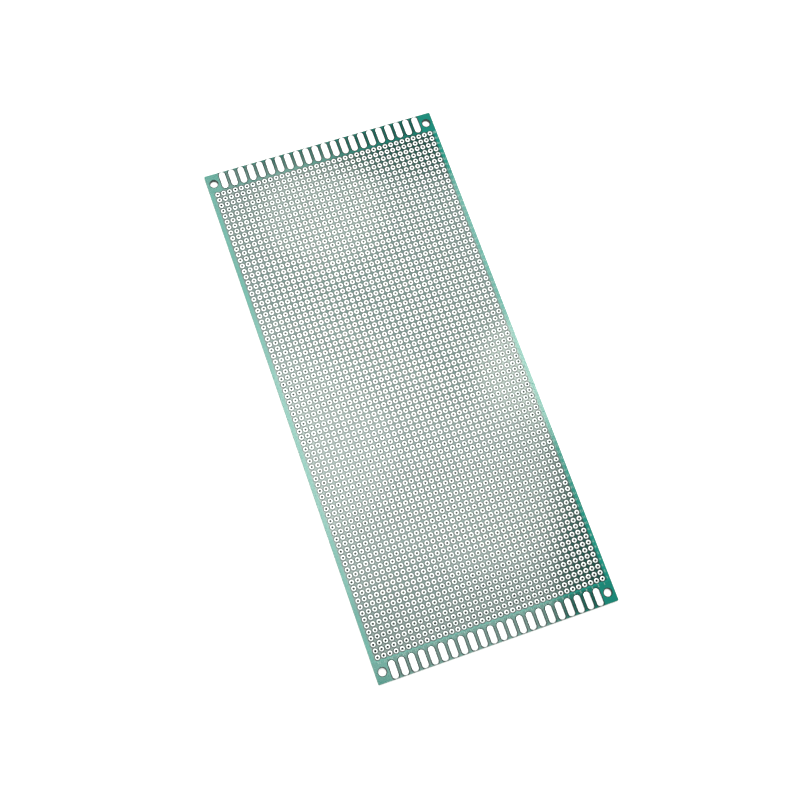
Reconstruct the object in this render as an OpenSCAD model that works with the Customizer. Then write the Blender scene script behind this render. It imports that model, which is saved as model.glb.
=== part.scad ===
// Bare double-sided prototyping board, 10 x 22 cm, with a 2.54 mm hole grid.
//
// The board lies flat with its front face up (+Z). X runs across it and Y
// along it. The origin is under its middle, on the surface it lies on.
//
// It is one glass-epoxy panel with a green coating. Every hole of the grid is
// lined with copper and tinned, with a round pad on both faces. Each end has a
// row of long tinned lands on both faces, and each corner a plain mounting
// hole with no copper.

/* [Board] */
// Width of the board, across the columns of holes
board_w = 100; // [60:0.5:130]
// Length of the board, along the columns of holes
board_l = 220; // [100:0.5:270]
// Thickness of the coated panel
board_t = 1.6; // [0.8:0.1:3.2]
// Radius of the routed corners
corner_r = 0.5; // [0.2:0.1:2]

/* [Hole grid] */
// Distance between neighbouring holes, both ways
pitch = 2.54; // [2.3:0.01:5.08]
// Drilled diameter of a grid hole
drill_d = 1; // [0.6:0.05:1.3]
// Thickness of the copper and tin that line a grid hole
lining_t = 0.05; // [0.03:0.01:0.1]
// Diameter of a pad
pad_d = 1.95; // [1.6:0.05:2.2]
// Least gap between a pad and a long edge of the board
pad_edge_gap = 2; // [0.5:0.1:6]
// Least gap, along the board, from a pad to a land or a mounting hole
pad_end_gap = 0.9; // [0.3:0.1:5]
// How far the grid sits from the middle, towards the +Y end
grid_shift = 0.37; // [0:0.01:1]

/* [Tinned copper] */
// Height of the tin at its crest, above the panel's face
crest_h = 0.08; // [0.06:0.01:0.2]
// Height of a land's upright rim, above the panel's face
rim_h = 0.035; // [0.02:0.005:0.05]
// Width of the slope from a land's rim up to its crest
slope_w = 0.35; // [0.1:0.05:0.6]

/* [End lands] */
// Distance between neighbouring lands
land_pitch = 4.064; // [3.2:0.002:6]
// Width of a land
land_w = 2.5; // [1.5:0.1:3]
// Length of a land, over its round ends
land_l = 7.2; // [4:0.1:10]
// Gap between a land's tip and the end of the board
land_end_gap = 0.15; // [0.1:0.05:2]
// Least gap between the outermost land and a mounting hole
land_mount_gap = 1.2; // [0.5:0.1:4]

/* [Mounting holes] */
// Diameter of a mounting hole
mount_d = 3.2; // [2:0.1:4]
// From a mounting hole's centre to the board's long edge
mount_side = 3; // [2.5:0.1:6]
// From a mounting hole's centre to the board's end
mount_end = 4.3; // [2.5:0.1:8]

/* [Hidden] */
$fn = 48;

// The panel is one solid, built from bands that run across it, and the holes
// of each band share a node. Every other band is thinner by band_step on each
// face. That is far below the unevenness of a real panel, and it gives each
// band a face of its own, so that no face carries thousands of holes. The
// number is odd, so both end bands have the full thickness.
bands = 15;
band_step = 0.004;

// The grid: as many columns and rows as fit inside the margins
columns = floor((board_w - pad_d - 2 * pad_edge_gap) / pitch) + 1;
end_fittings = max(land_end_gap + land_l, mount_end + mount_d / 2);
end_margin = end_fittings + pad_end_gap + pad_d / 2 + grid_shift;
rows = floor((board_l - 2 * end_margin) / pitch) + 1;
first_x = -(columns - 1) * pitch / 2;
first_y = -(rows - 1) * pitch / 2 + grid_shift;

// The lands: as many as fit between the two mounting holes of an end
land_margin = mount_side + mount_d / 2 + land_mount_gap + land_w / 2;
lands = floor((board_w - 2 * land_margin) / land_pitch) + 1;
land_y = board_l / 2 - land_end_gap - land_l / 2;

// The first row of band b, the band's bounds and half its thickness. Bands and
// rows are counted from 0 at the -Y end, and a band holds whole rows.
function first_row(b) = round(rows * b / bands);
function band_start(b) =
    b == 0 ? -board_l / 2
    : b == bands ? board_l / 2
    : first_y + (first_row(b) - 0.5) * pitch;
function half_t(b) = board_t / 2 - (b % 2) * band_step;

module outline() {
    square([board_w - 2 * corner_r, board_l], center = true);
    square([board_w, board_l - 2 * corner_r], center = true);
    for (x = [-1, 1], y = [-1, 1])
        translate([x * (board_w / 2 - corner_r), y * (board_l / 2 - corner_r)])
            circle(r = corner_r);
}

// Places its children at every hole of a band's grid
module at_grid(b) {
    for (row = [first_row(b) : first_row(b + 1) - 1], column = [0 : columns - 1])
        translate([first_x + column * pitch, first_y + row * pitch]) children();
}

module at_mounts() {
    for (x = [-1, 1], y = [-1, 1])
        translate([x * (board_w / 2 - mount_side), y * (board_l / 2 - mount_end)]) children();
}

// One band of the panel, with its drilled holes
module band(b) {
    translate([0, 0, -half_t(b)]) linear_extrude(2 * half_t(b)) difference() {
        intersection() {
            outline();
            translate([-board_w / 2, band_start(b)])
                square([board_w, band_start(b + 1) - band_start(b)]);
        }
        at_grid(b) circle(d = drill_d);
        at_mounts() circle(d = mount_d);
    }
}

module panel() {
    color("seagreen") for (b = [0 : bands - 1]) band(b);
}

// The lining of a hole and its two pads, in one piece. The tin is highest at
// the rim of the hole and thins out to the edge of the pad.
module plated_hole(half_t) {
    bore_r = drill_d / 2 - lining_t;
    z_crest = half_t + crest_h;
    rotate_extrude() polygon([
        [bore_r, -z_crest], [pad_d / 2, -half_t], [drill_d / 2, -half_t],
        [drill_d / 2, half_t], [pad_d / 2, half_t], [bore_r, z_crest]]);
}

module plated_holes(b) {
    color("silver") at_grid(b) plated_hole(half_t(b));
}

// Half of a land's cross-section, from its middle line out to its rim
land_section = [
    [0, 0], [land_w / 2, 0], [land_w / 2, rim_h],
    [land_w / 2 - slope_w, crest_h], [0, crest_h]];

// A long pad that stands on z = 0: two half rounds joined by a straight length
module land() {
    straight = land_l - land_w;
    for (turn = [0, 180])
        rotate(turn) translate([0, straight / 2]) rotate_extrude(angle = 180) polygon(land_section);
    for (side = [0, 1])
        mirror([side, 0]) rotate([90, 0, 0])
            linear_extrude(straight, center = true) polygon(land_section);
}

// The lands of one end, on the front face or, turned over, on the back
module land_row(front, far) {
    color("silver") mirror([0, 0, front ? 0 : 1])
        for (i = [0 : lands - 1])
            translate([(i - (lands - 1) / 2) * land_pitch, far ? land_y : -land_y, board_t / 2])
                land();
}

// Lifts what is modelled about the middle of the panel, so that the crests of
// the back lands lie on z = 0
module laid_flat() {
    translate([0, 0, board_t / 2 + crest_h]) children();
}

laid_flat() panel();
for (b = [1 : bands])
    laid_flat() plated_holes(b - 1);
laid_flat() land_row(front = true, far = false);  // front_lands_near
laid_flat() land_row(front = true, far = true);  // front_lands_far
laid_flat() land_row(front = false, far = false);  // back_lands_near
laid_flat() land_row(front = false, far = true);  // back_lands_far
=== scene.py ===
"""Looks of a bare double-sided prototyping board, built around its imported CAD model.

The panel and the end lands are the CAD nodes with their real finishes. The
plated holes are modelled again with a domed tin surface, and the printed grid
numbers are added. Everything is in metres, in the CAD model's own frame: X
across the board, Y along it, and Z out of its front face.
"""
import math

import bmesh
import bpy
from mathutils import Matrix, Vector, noise


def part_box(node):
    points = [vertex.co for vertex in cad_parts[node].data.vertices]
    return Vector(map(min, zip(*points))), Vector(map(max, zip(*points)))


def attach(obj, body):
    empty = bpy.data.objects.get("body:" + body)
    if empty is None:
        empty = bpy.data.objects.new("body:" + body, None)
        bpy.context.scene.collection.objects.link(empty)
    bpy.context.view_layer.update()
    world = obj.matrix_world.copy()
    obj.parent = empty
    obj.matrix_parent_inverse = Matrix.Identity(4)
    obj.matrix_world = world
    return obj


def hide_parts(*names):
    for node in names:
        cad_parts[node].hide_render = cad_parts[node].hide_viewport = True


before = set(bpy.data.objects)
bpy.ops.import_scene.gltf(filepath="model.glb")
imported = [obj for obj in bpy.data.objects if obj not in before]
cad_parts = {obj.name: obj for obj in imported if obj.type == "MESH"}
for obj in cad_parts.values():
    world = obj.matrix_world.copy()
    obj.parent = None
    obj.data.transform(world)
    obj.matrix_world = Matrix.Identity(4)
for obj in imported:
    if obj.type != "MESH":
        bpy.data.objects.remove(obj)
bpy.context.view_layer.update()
bpy.ops.object.select_all(action="DESELECT")

MM = 0.001
PITCH = 2.54 * MM

# A plated hole: pad, drill and finished bore. Its tin stands CREST_H high at
# CREST_R, falls to RIM_H at the bore, and sags by up to SAG in some places. The
# hole has PAD_SIDES sides, and edges that bend less than SMOOTH_ANGLE are smooth
PAD_R = 0.975 * MM
DRILL_R = 0.5 * MM
BORE_R = 0.45 * MM
CREST_R = 0.74 * MM
CREST_H = 0.08 * MM
RIM_H = 0.02 * MM
SAG = 0.02 * MM
SAG_SPACING = 1.7 * MM
PAD_SIDES = 12
SMOOTH_ANGLE = math.radians(50)

# A land, and how far it is from the next
LAND_W = 2.5 * MM
LAND_L = 7.2 * MM
LAND_PITCH = 4.064 * MM

# Corner holes: radius, and distance of their centres from the board's middle
MOUNT_R = 1.6 * MM
MOUNT_X = 47.0 * MM
MOUNT_Y = 105.7 * MM

# The coating stops this far from the pads and corner holes, and from the lands
CLEARANCE = 0.29 * MM
LAND_CLEARANCE = 0.4 * MM

# Printed numbers: height of the digits, their share of the font's size, the
# thickness of the ink, and the distance from the outermost holes to a number
DIGIT_H = 1.0 * MM
DIGIT_SHARE = 0.7
INK_T = 0.02 * MM
NUMBER_GAP = 2.0 * MM

TIN_NODES = sorted(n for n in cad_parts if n.startswith("plated_holes"))
LAND_NODES = sorted(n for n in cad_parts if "lands" in n)


def union_box(nodes):
    """Lowest and highest corner of several CAD nodes together."""
    boxes = [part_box(node) for node in nodes]
    low = Vector([min(box[0][axis] for box in boxes) for axis in range(3)])
    high = Vector([max(box[1][axis] for box in boxes) for axis in range(3)])
    return low, high


front_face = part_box("panel")[1].z
grid_low, grid_high = union_box(TIN_NODES)
land_low, land_high = union_box(LAND_NODES)

# Middles of the first and last features of the grid of holes and of the rows of lands
first_hole = grid_low + Vector((PAD_R, PAD_R, 0))
last_hole = grid_high - Vector((PAD_R, PAD_R, 0))
first_land = land_low + Vector((LAND_W / 2, LAND_L / 2, 0))
last_land = land_high - Vector((LAND_W / 2, LAND_L / 2, 0))
columns = round((last_hole.x - first_hole.x) / PITCH) + 1
rows = round((last_hole.y - first_hole.y) / PITCH) + 1


# ---------------------------------------------------------------- materials

MATH = "ShaderNodeMath"
VECTOR_MATH = "ShaderNodeVectorMath"
MIX = "ShaderNodeMix"

# Inputs of a Mix node, which are told apart by number, for colours and for values
COLOUR_A = 6
COLOUR_B = 7
VALUE_A = 2
VALUE_B = 3

# How strongly the coating is painted darker, as shade for the light lost under
# the copper round it: 1 among the plated holes, 0 on the side margins, and
# these shares at the board's ends
PAINTED_SHADE_IN_CORNER = 0.2
PAINTED_SHADE_BY_LANDS = 0.53
PAINTED_SHADE_BETWEEN_LANDS = 0.83

# Width of the change from the grid of holes to a side margin
FADE = 0.7 * MM


def linear(hex_colour):
    """A linear RGBA colour from an sRGB hex value such as '#22866f'."""
    channels = [int(hex_colour[i : i + 2], 16) / 255 for i in (1, 3, 5)]
    return [c / 12.92 if c <= 0.04045 else ((c + 0.055) / 1.055) ** 2.4 for c in channels] + [1]


def add(tree, kind, inputs=(), **settings):
    """Adds a node, sets its properties, and fills its inputs in order, or by
    name or number.

    A socket is linked in, a node stands for its first output in use, and
    anything else becomes the input's value."""
    node = tree.nodes.new(kind)
    for name, value in settings.items():
        setattr(node, name, value)
    named = inputs if isinstance(inputs, dict) else dict(enumerate(inputs))
    for key, value in named.items():
        if isinstance(value, bpy.types.Node):
            value = next(output for output in value.outputs if output.enabled)
        if isinstance(value, bpy.types.NodeSocket):
            tree.links.new(value, node.inputs[key])
        else:
            node.inputs[key].default_value = value
    return node


def new_material(name):
    """An empty material. Returns it and its node tree."""
    material = bpy.data.materials.new(name)
    material.use_nodes = True
    material.node_tree.nodes.clear()
    return material, material.node_tree


def place_on_board(tree):
    """The place on the board, in metres, as a vector."""
    return add(tree, "ShaderNodeTexCoord").outputs["Object"]


def from_nearest(tree, first, last, step, straight=0):
    """Distance on the board from the nearest of a grid of round features.

    first and last are the middles of the grid's corner features. straight is
    half the length of a feature's straight sides, which run along Y."""
    zero = Vector()
    from_first = add(tree, VECTOR_MATH, (place_on_board(tree), first), operation="SUBTRACT")

    # Snap goes down to a whole step, and half a step more makes that the nearest
    half_more = add(tree, VECTOR_MATH, (from_first, step / 2), operation="ADD")
    nearest = add(tree, VECTOR_MATH, (half_more, step), operation="SNAP")
    nearest = add(tree, VECTOR_MATH, (nearest, zero), operation="MAXIMUM")
    nearest = add(tree, VECTOR_MATH, (nearest, last - first), operation="MINIMUM")
    apart = add(tree, VECTOR_MATH, (from_first, nearest), operation="SUBTRACT")
    apart = add(tree, VECTOR_MATH, (apart,), operation="ABSOLUTE")

    # Nothing counts along the straight sides, nor along Z, which is far under 1 m
    ignored = Vector((0, straight, 1))
    apart = add(tree, VECTOR_MATH, (apart, ignored), operation="SUBTRACT")
    apart = add(tree, VECTOR_MATH, (apart, zero), operation="MAXIMUM")
    return add(tree, VECTOR_MATH, (apart,), operation="LENGTH")


def from_plated_hole(tree):
    """Distance on the board from the middle of the nearest plated hole."""
    return from_nearest(tree, first_hole, last_hole, Vector((PITCH, PITCH, 0)))


def by_corner_hole(tree):
    """1 at a corner hole and in the ring round it, 0 elsewhere."""
    hole = Vector((MOUNT_X, MOUNT_Y, 0))
    distance = from_nearest(tree, -hole, hole, 2 * hole)
    return add(tree, MATH, (distance, MOUNT_R + CLEARANCE), operation="LESS_THAN")


def mask_openings(tree):
    """1 where the coating is open round a pad, a land or a corner hole, 0 elsewhere."""
    near_pad = add(tree, MATH, (from_plated_hole(tree), PAD_R + CLEARANCE), operation="LESS_THAN")
    step = Vector((LAND_PITCH, last_land.y - first_land.y, 0))
    from_land = from_nearest(tree, first_land, last_land, step, (LAND_L - LAND_W) / 2)
    near_land = add(tree, MATH, (from_land, LAND_W / 2 + LAND_CLEARANCE), operation="LESS_THAN")
    near_copper = add(tree, MATH, (near_pad, near_land), operation="MAXIMUM")
    return add(tree, MATH, (near_copper, by_corner_hole(tree)), operation="MAXIMUM")


def mask_grid(tree):
    """1 among the plated holes, fading to 0 on the side margins, and 0 at the ends."""
    middle = (grid_high + grid_low) / 2
    reach = (grid_high - grid_low) / 2
    from_middle = add(tree, VECTOR_MATH, (place_on_board(tree), middle), operation="SUBTRACT")
    apart = add(tree, VECTOR_MATH, (from_middle,), operation="ABSOLUTE")
    across, along, _ = add(tree, "ShaderNodeSeparateXYZ", (apart,)).outputs
    fade = add(tree, "ShaderNodeMapRange", {
        "Value": across, "From Min": reach.x, "From Max": reach.x + FADE, "To Min": 1.0, "To Max": 0.0})
    in_rows = add(tree, MATH, (along, reach.y), operation="LESS_THAN")
    return add(tree, MATH, (fade, in_rows), operation="MULTIPLY")


def mask_copper(tree, grid):
    """How strongly the coating is painted darker, as shade for the light lost under the copper round it, from
    the mask of the grid.
    """
    apart = add(tree, VECTOR_MATH, (place_on_board(tree),), operation="ABSOLUTE")
    across, along, _ = add(tree, "ShaderNodeSeparateXYZ", (apart,)).outputs
    at_end = add(tree, MATH, (along, grid_high.y), operation="GREATER_THAN")
    by_lands = add(tree, MATH, (across, land_high.x + LAND_CLEARANCE), operation="LESS_THAN")
    from_row = add(tree, MATH, (along, last_land.y), operation="SUBTRACT")
    from_row = add(tree, MATH, (from_row,), operation="ABSOLUTE")

    # The zone between the lands takes in half of each of their round ends
    zone = (LAND_L - LAND_W / 2) / 2
    between = add(tree, MATH, (from_row, zone), operation="LESS_THAN")
    share = add(tree, MATH, (between, PAINTED_SHADE_BETWEEN_LANDS - PAINTED_SHADE_BY_LANDS,
                             PAINTED_SHADE_BY_LANDS - PAINTED_SHADE_IN_CORNER), operation="MULTIPLY_ADD")
    share = add(tree, MATH, (by_lands, share, PAINTED_SHADE_IN_CORNER), operation="MULTIPLY_ADD")
    share = add(tree, MATH, (at_end, share), operation="MULTIPLY")
    return add(tree, MATH, (grid, share), operation="MAXIMUM")


def glass_weave(tree):
    """Height of the plain-woven glass cloth, from -1 to 1: its yarns are 0.6 mm apart."""
    yarn_spacing = 0.6 * MM
    turns = add(tree, VECTOR_MATH, (place_on_board(tree), [math.pi / yarn_spacing] * 3), operation="MULTIPLY")
    waves = add(tree, VECTOR_MATH, (turns,), operation="SINE")
    warp, weft, _ = add(tree, "ShaderNodeSeparateXYZ", (waves,)).outputs
    return add(tree, MATH, (warp, weft), operation="MULTIPLY")


def lacquer_colour(tree, weave, cloud, grid):
    """Colour of the green lacquer: a little cloudy, with a trace of the weave
    that shows through, and painted darker between the pads as shade."""
    cloudiness = 0.9
    weave_trace = 0.12
    trace = add(tree, MATH, (weave, weave_trace), operation="MULTIPLY")
    tone = add(tree, MATH, (cloud, cloudiness, trace), operation="MULTIPLY_ADD")
    resist = add(tree, "ShaderNodeValToRGB", (tone,))
    resist.color_ramp.elements[0].color = linear("#109080")
    resist.color_ramp.elements[0].position = 0.2
    resist.color_ramp.elements[1].color = linear("#14a08d")
    resist.color_ramp.elements[1].position = 0.75

    # Painted shade: light that enters the laminate between the pads is lost under
    # them, so the coating is painted darker there than along the margins
    return add(tree, MIX, {
        "Factor": mask_copper(tree, grid), COLOUR_A: resist, COLOUR_B: linear("#0a5348")},
        data_type="RGBA")


def cut_colour(tree):
    """Colour of the panel's cut sides: layers of cloth 0.2 mm thick, frayed by
    the router, and painted dark grey as shade on the walls of the drilled corner holes."""
    layer_t = 0.2 * MM
    fray_size = 1.11 * MM
    fray_depth = 5.0
    place = place_on_board(tree)
    z = add(tree, "ShaderNodeSeparateXYZ", (place,)).outputs["Z"]
    fray = add(tree, "ShaderNodeTexNoise", {"Vector": place, "Scale": 1 / fray_size, "Detail": 4.0})
    fray = add(tree, MATH, (fray, fray_depth), operation="MULTIPLY")
    turns = add(tree, MATH, (z, 2 * math.pi / layer_t, fray), operation="MULTIPLY_ADD")
    layer = add(tree, MATH, (turns,), operation="SINE")

    # From between -1 and 1 to between 0.2 and 0.8 of the way from one tone to the other
    layer = add(tree, MATH, (layer, 0.3, 0.5), operation="MULTIPLY_ADD")
    cloth = add(tree, "ShaderNodeValToRGB", (layer,))
    cloth.color_ramp.elements[0].color = linear("#9cb3a6")
    cloth.color_ramp.elements[1].color = linear("#ccd9cf")
    # Painted shade: the walls of the corner holes are painted dark grey-green
    return add(tree, MIX, {
        "Factor": by_corner_hole(tree), COLOUR_A: cloth, COLOUR_B: linear("#5f6d67")},
        data_type="RGBA")


def coated_laminate():
    """FR-4 glass-epoxy laminate, routed at its edges, under a printed and
    cured green solder resist. The resist is a smooth glossy lacquer that lets
    a trace of the glass weave through; the cut edge is pale, dull and
    layered."""
    material, tree = new_material("coated_laminate")
    cloud_size = 8.33 * MM
    cloud = add(tree, "ShaderNodeTexNoise", {
        "Vector": place_on_board(tree), "Scale": 1 / cloud_size, "Detail": 3.0})
    weave = glass_weave(tree)
    openings = mask_openings(tree)
    grid = mask_grid(tree)

    # Bare laminate shows in the ring round each pad, land and corner hole; its
    # near-black colour is partly the bare laminate and partly painted shade in the gap
    lacquer = lacquer_colour(tree, weave, cloud, grid)
    face = add(tree, MIX, {
        "Factor": openings, COLOUR_A: lacquer, COLOUR_B: linear("#082c2a")}, data_type="RGBA")

    # The faces point up or down, and all the rest is cut
    normal = add(tree, "ShaderNodeNewGeometry").outputs["True Normal"]
    facing = add(tree, "ShaderNodeSeparateXYZ", (normal,)).outputs["Z"]
    facing = add(tree, MATH, (facing,), operation="ABSOLUTE")
    is_face = add(tree, MATH, (facing, 0.5), operation="GREATER_THAN")
    colour = add(tree, MIX, {
        "Factor": is_face, COLOUR_A: cut_colour(tree), COLOUR_B: face}, data_type="RGBA")

    # Roughness: the lacquer is smooth, a little less where it is cloudy or bare,
    # and the cut sides are dull
    smooth = 0.06
    cloudy_more = 0.04
    bare_more = 0.1
    cut = 0.7
    coat = add(tree, MATH, (cloud, cloudy_more, smooth), operation="MULTIPLY_ADD")
    coat = add(tree, MATH, (openings, bare_more, coat), operation="MULTIPLY_ADD")
    roughness = add(tree, MIX, {"Factor": is_face, VALUE_A: cut, VALUE_B: coat})

    # Shine: the lacquer lies thicker between the pads and shines more there than
    # on the margins, and the bare rings lose half of it
    margin_shine = 0.52
    thick_more = 0.3
    bare_loss = 0.55
    shine = add(tree, MATH, (grid, thick_more, margin_shine), operation="MULTIPLY_ADD")
    left = add(tree, MATH, (openings, -bare_loss, 1.0), operation="MULTIPLY_ADD")
    shine = add(tree, MATH, (shine, left), operation="MULTIPLY")
    bump = add(tree, "ShaderNodeBump", {"Height": weave, "Strength": 0.15, "Distance": 0.004 * MM})
    shader = add(tree, "ShaderNodeBsdfPrincipled", {
        "Base Color": colour, "Roughness": roughness, "Specular IOR Level": shine, "Normal": bump,
        "IOR": 1.5})
    add(tree, "ShaderNodeOutputMaterial", {"Surface": shader})
    return material


def tinned_copper():
    """Copper dipped in molten tin and levelled with hot air. The tin is
    bright, slightly uneven from pad to pad, with faint ripples."""
    material, tree = new_material("tinned_copper")
    patch_size = 2.22 * MM
    ripple_size = 0.667 * MM
    smooth = 0.36
    patchy_more = 0.2
    place = place_on_board(tree)
    patches = add(tree, "ShaderNodeTexNoise", {"Vector": place, "Scale": 1 / patch_size, "Detail": 2.0})
    ripple = add(tree, "ShaderNodeTexNoise", {"Vector": place, "Scale": 1 / ripple_size, "Detail": 2.0})
    colour = add(tree, "ShaderNodeValToRGB", (patches,))
    colour.color_ramp.elements[0].color = linear("#e6eaea")
    colour.color_ramp.elements[0].position = 0.3
    colour.color_ramp.elements[1].color = linear("#f2f5f5")
    colour.color_ramp.elements[1].position = 0.7
    roughness = add(tree, MATH, (patches, patchy_more, smooth), operation="MULTIPLY_ADD")

    # Painted shade: inside the holes and over their rims the tin is painted near black
    rim_w = 0.055 * MM
    wall = add(tree, MATH, (from_plated_hole(tree), BORE_R + rim_w), operation="LESS_THAN")
    finish = add(tree, MIX, {
        "Factor": wall, COLOUR_A: colour, COLOUR_B: linear("#18191a")}, data_type="RGBA")
    bump = add(tree, "ShaderNodeBump", {"Height": ripple, "Strength": 0.3, "Distance": 0.01 * MM})
    shader = add(tree, "ShaderNodeBsdfPrincipled", {
        "Base Color": finish, "Roughness": roughness, "Normal": bump, "Metallic": 1.0})
    add(tree, "ShaderNodeOutputMaterial", {"Surface": shader})
    return material


def legend_ink():
    """Screen-printed white epoxy ink, so thin that the green shows through:
    satin, a little grainy."""
    material, tree = new_material("legend_ink")
    grain_size = 0.1667 * MM
    grain = add(tree, "ShaderNodeTexNoise", {
        "Vector": place_on_board(tree), "Scale": 1 / grain_size, "Detail": 2.0})
    colour = add(tree, "ShaderNodeValToRGB", (grain,))
    colour.color_ramp.elements[0].color = linear("#86b8ac")
    colour.color_ramp.elements[1].color = linear("#b2d6cc")
    shader = add(tree, "ShaderNodeBsdfPrincipled", {"Base Color": colour, "Roughness": 0.45})
    add(tree, "ShaderNodeOutputMaterial", {"Surface": shader})
    return material


def white_table():
    """Matt white table, painted dark grey under the middle of the board as shade,
    which keeps the plated holes dark. Round the board it shows plain white to
    the camera, and it keeps a soft shadow."""
    material, tree = new_material("white_table")
    apart = add(tree, VECTOR_MATH, (place_on_board(tree),), operation="ABSOLUTE")
    across, along, _ = add(tree, "ShaderNodeSeparateXYZ", (apart,)).outputs
    beside = add(tree, MATH, (across, grid_high.x), operation="GREATER_THAN")
    beyond = add(tree, MATH, (along, grid_high.y), operation="GREATER_THAN")
    open_floor = add(tree, MATH, (beside, beyond), operation="MAXIMUM")
    # Painted shade: under the grid of holes the table is painted dark grey
    table_with_painted_shade = add(tree, MIX, {
        "Factor": open_floor, COLOUR_A: linear("#303030"), COLOUR_B: linear("#f2f2f2")},
        data_type="RGBA")
    matt = add(tree, "ShaderNodeBsdfDiffuse", {"Color": table_with_painted_shade})

    # What the camera sees, straight or in gloss and glass, is lifted to white
    white_lift = 0.6
    path = add(tree, "ShaderNodeLightPath").outputs
    mirrored = add(tree, MATH, (path["Is Glossy Ray"], path["Is Transmission Ray"]), operation="MAXIMUM")
    seen = add(tree, MATH, (path["Is Camera Ray"], mirrored), operation="MAXIMUM")
    lift = add(tree, MATH, (seen, open_floor), operation="MULTIPLY")
    lift = add(tree, MATH, (lift, white_lift), operation="MULTIPLY")
    glow = add(tree, "ShaderNodeEmission", {"Strength": lift})
    both = add(tree, "ShaderNodeAddShader", (matt, glow))
    add(tree, "ShaderNodeOutputMaterial", {"Surface": both})
    return material


# ------------------------------------------------------------------- pieces


def finish_node(node, material):
    """Gives a CAD node its finish."""
    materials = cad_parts[node].data.materials
    materials.clear()
    materials.append(material)


def finish_piece(piece, material, node=None):
    """Puts a piece's place into its mesh, and hangs it on the board."""
    piece.data.materials.clear()
    piece.data.materials.append(material)
    bpy.ops.object.select_all(action="DESELECT")
    piece.select_set(True)
    bpy.context.view_layer.objects.active = piece
    bpy.ops.object.transform_apply(location=True, rotation=True, scale=True)
    bpy.ops.object.select_all(action="DESELECT")
    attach(piece, "root")
    if node:
        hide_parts(node)


def tinned_hole(name, centre, front, back):
    """One plated hole with domed tin on both faces, as a closed ring.

    It starts as the rim of the front pad. Each step draws the next loop in or
    out and up or down: over the front dome, through the bore, over the back
    dome, and up the wall of the drilled hole to where it began."""
    steps = [
        (CREST_R, front + CREST_H), (BORE_R, front + RIM_H),
        (BORE_R, back - RIM_H), (CREST_R, back - CREST_H),
        (PAD_R, back), (DRILL_R, back), (DRILL_R, front)]
    bpy.ops.mesh.primitive_circle_add(
        vertices=PAD_SIDES, radius=PAD_R, fill_type="NOTHING", location=(centre.x, centre.y, front))
    ring = bpy.context.object
    ring.name = name
    bpy.ops.object.mode_set(mode="EDIT")
    bpy.ops.mesh.select_all(action="SELECT")
    radius, height = PAD_R, front
    for next_radius, next_height in steps:
        rise = (0, 0, next_height - height)
        scale = next_radius / radius
        bpy.ops.mesh.extrude_region_move(TRANSFORM_OT_translate={"value": rise})
        bpy.ops.transform.resize(
            value=(scale, scale, 1), center_override=(centre.x, centre.y, next_height))
        radius, height = next_radius, next_height
    bpy.ops.mesh.select_all(action="DESELECT")
    mesh = bmesh.from_edit_mesh(ring.data)
    for edge in mesh.edges:
        edge.select = len(edge.link_faces) == 1
    bmesh.update_edit_mesh(ring.data)
    bpy.ops.mesh.bridge_edge_loops()
    bpy.ops.mesh.select_all(action="SELECT")
    bpy.ops.mesh.normals_make_consistent(inside=False)
    bpy.ops.object.mode_set(mode="OBJECT")
    bpy.ops.object.shade_smooth_by_angle(angle=SMOOTH_ANGLE)
    return ring


def repeat(piece, count, step, axis):
    """Repeats a piece along an axis with an applied Array."""
    array = piece.modifiers.new("repeat", "ARRAY")
    array.count = count
    array.use_relative_offset = False
    array.use_constant_offset = True
    array.constant_offset_displace = [step if i == axis else 0 for i in range(3)]
    bpy.ops.object.modifier_apply(modifier=array.name)


def uneven_tin(piece, front, back):
    """Lets the crest of each dome sag here and there, as hot-air levelling does."""
    for vertex in piece.data.vertices:
        sag = abs(noise.noise(vertex.co / SAG_SPACING)) * SAG
        if vertex.co.z > front + CREST_H / 2:
            vertex.co.z -= sag
        elif vertex.co.z < back - CREST_H / 2:
            vertex.co.z += sag


def make_tinned_holes(node, tin):
    """The plated holes of one CAD node, as one piece."""
    low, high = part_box(node)
    front, back = high.z - CREST_H, low.z + CREST_H
    row_count = round((high.y - low.y - 2 * PAD_R) / PITCH) + 1
    corner = Vector((low.x + PAD_R, low.y + PAD_R, 0))
    piece = tinned_hole(node.replace("plated", "tinned"), corner, front, back)
    bpy.ops.object.transform_apply(location=True, rotation=True, scale=True)
    repeat(piece, columns, PITCH, 0)
    repeat(piece, row_count, PITCH, 1)
    uneven_tin(piece, front, back)
    finish_piece(piece, tin, node)


def print_number(number, x, y):
    """One printed number, upright when read from the board's +Y end."""
    bpy.ops.object.text_add(location=(x, y, front_face), rotation=(0, 0, math.pi))
    text = bpy.context.object
    text.data.body = str(number)
    text.data.size = DIGIT_H / DIGIT_SHARE
    text.data.align_x = "CENTER"
    text.data.align_y = "CENTER"
    text.data.extrude = INK_T / 2
    text.data.resolution_u = 2
    return text


def make_grid_numbers(ink):
    """Plain numbers that count the rows along one edge and the columns along one end."""
    texts = [print_number(row + 1, last_hole.x + NUMBER_GAP, first_hole.y + row * PITCH)
             for row in range(rows)]
    texts += [print_number(column + 1, last_hole.x - column * PITCH, first_hole.y - NUMBER_GAP)
              for column in range(columns)]
    bpy.ops.object.select_all(action="DESELECT")
    for text in texts:
        text.select_set(True)
    bpy.context.view_layer.objects.active = texts[0]
    bpy.ops.object.convert(target="MESH")
    bpy.ops.object.join()
    piece = bpy.context.object
    piece.name = "grid_numbers"
    finish_piece(piece, ink)


# -------------------------------------------------------- light and camera


def make_floor():
    """The table, 8 m square, so that it fills the view from any side."""
    bpy.ops.mesh.primitive_plane_add(size=8, location=(0, 0, 0))
    floor = bpy.context.object
    floor.name = "table"
    floor.data.materials.append(white_table())


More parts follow.
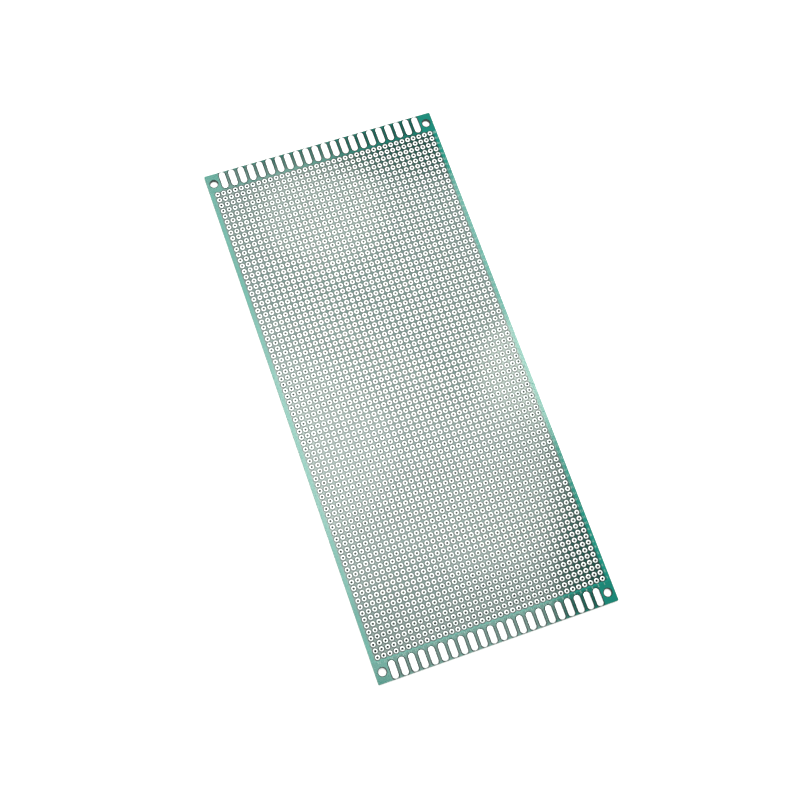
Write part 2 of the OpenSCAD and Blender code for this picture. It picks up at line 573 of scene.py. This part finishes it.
def make_world():
    """White surroundings that light the board evenly. Gloss and metal see white
    walls under a dim ceiling, and the camera sees plain white."""
    board_light = 0.42
    wall_top = 0.6
    ceiling_edge = 0.9
    ceiling_light = 0.12
    world = bpy.data.worlds.new("studio")
    bpy.context.scene.world = world
    world.use_nodes = True
    tree = world.node_tree
    tree.nodes.clear()
    path = add(tree, "ShaderNodeLightPath").outputs
    direction = add(tree, "ShaderNodeTexCoord").outputs["Generated"]
    up = add(tree, "ShaderNodeSeparateXYZ", (direction,)).outputs["Z"]
    walls = add(tree, "ShaderNodeMapRange", {
        "Value": up, "From Min": wall_top, "From Max": ceiling_edge,
        "To Min": 1.0, "To Max": ceiling_light})
    mirrored = add(tree, MATH, (path["Is Glossy Ray"], walls), operation="MULTIPLY")
    diffuse = add(tree, MATH, (path["Is Diffuse Ray"], board_light), operation="MULTIPLY")
    indirect = add(tree, MATH, (mirrored, diffuse), operation="MAXIMUM")
    direct = add(tree, MATH, (path["Is Camera Ray"], path["Is Transmission Ray"]), operation="MAXIMUM")
    strength = add(tree, MATH, (indirect, direct), operation="MAXIMUM")
    sky = add(tree, "ShaderNodeBackground", {"Strength": strength, "Color": linear("#ffffff")})
    add(tree, "ShaderNodeOutputWorld", {"Surface": sky})


def add_lamp(name, shape, place, size, power, colour, turn=0):
    """A square or round lamp that looks straight down, its power in watts."""
    bpy.ops.object.light_add(type="AREA", location=place, rotation=(0, 0, math.radians(turn)))
    lamp = bpy.context.object
    lamp.name = name
    lamp.data.shape = shape
    lamp.data.size = size
    lamp.data.energy = power
    lamp.data.color = linear(colour)[:3]


def make_camera():
    """A camera past the board's near left corner, 0.56 m above the table, which
    looks down on the board at an angle."""
    camera_data = bpy.data.cameras.new("camera")
    camera_data.lens = 65
    camera_data.sensor_width = 36
    camera_data.clip_start = 0.01
    camera = bpy.data.objects.new("camera", camera_data)
    camera.location = (-0.10085, -0.13862, 0.55906)
    camera.rotation_euler = [math.radians(a) for a in (15.6786, -4.7652, -19.5465)]
    bpy.context.scene.collection.objects.link(camera)
    bpy.context.scene.camera = camera


make_camera()
make_world()
make_floor()
add_lamp("key_softbox", "SQUARE", (0.044, 0.254, 1.0), 0.59, 5.2, "#f7fffb", turn=-19.5)
add_lamp("left_glow", "DISK", (0.045, 0.204, 0.99), 0.34, 0.5, "#fbfff8")
add_lamp("left_bulb", "DISK", (0.045, 0.204, 0.98), 0.2, 0.22, "#fbfff8")
add_lamp("near_glow", "DISK", (0.215, 0.105, 0.99), 0.2, 0.22, "#fbfff8")
add_lamp("far_bulb", "DISK", (0.156, 0.471, 0.99), 0.14, 0.15, "#fcfff2")
add_lamp("right_bulb", "DISK", (0.33, 0.213, 0.99), 0.14, 0.27, "#fcfff2")

tin = tinned_copper()
finish_node("panel", coated_laminate())
for node in LAND_NODES:
    finish_node(node, tin)
for node in TIN_NODES:
    make_tinned_holes(node, tin)
make_grid_numbers(legend_ink())

bpy.context.scene.view_settings.view_transform = "Standard"
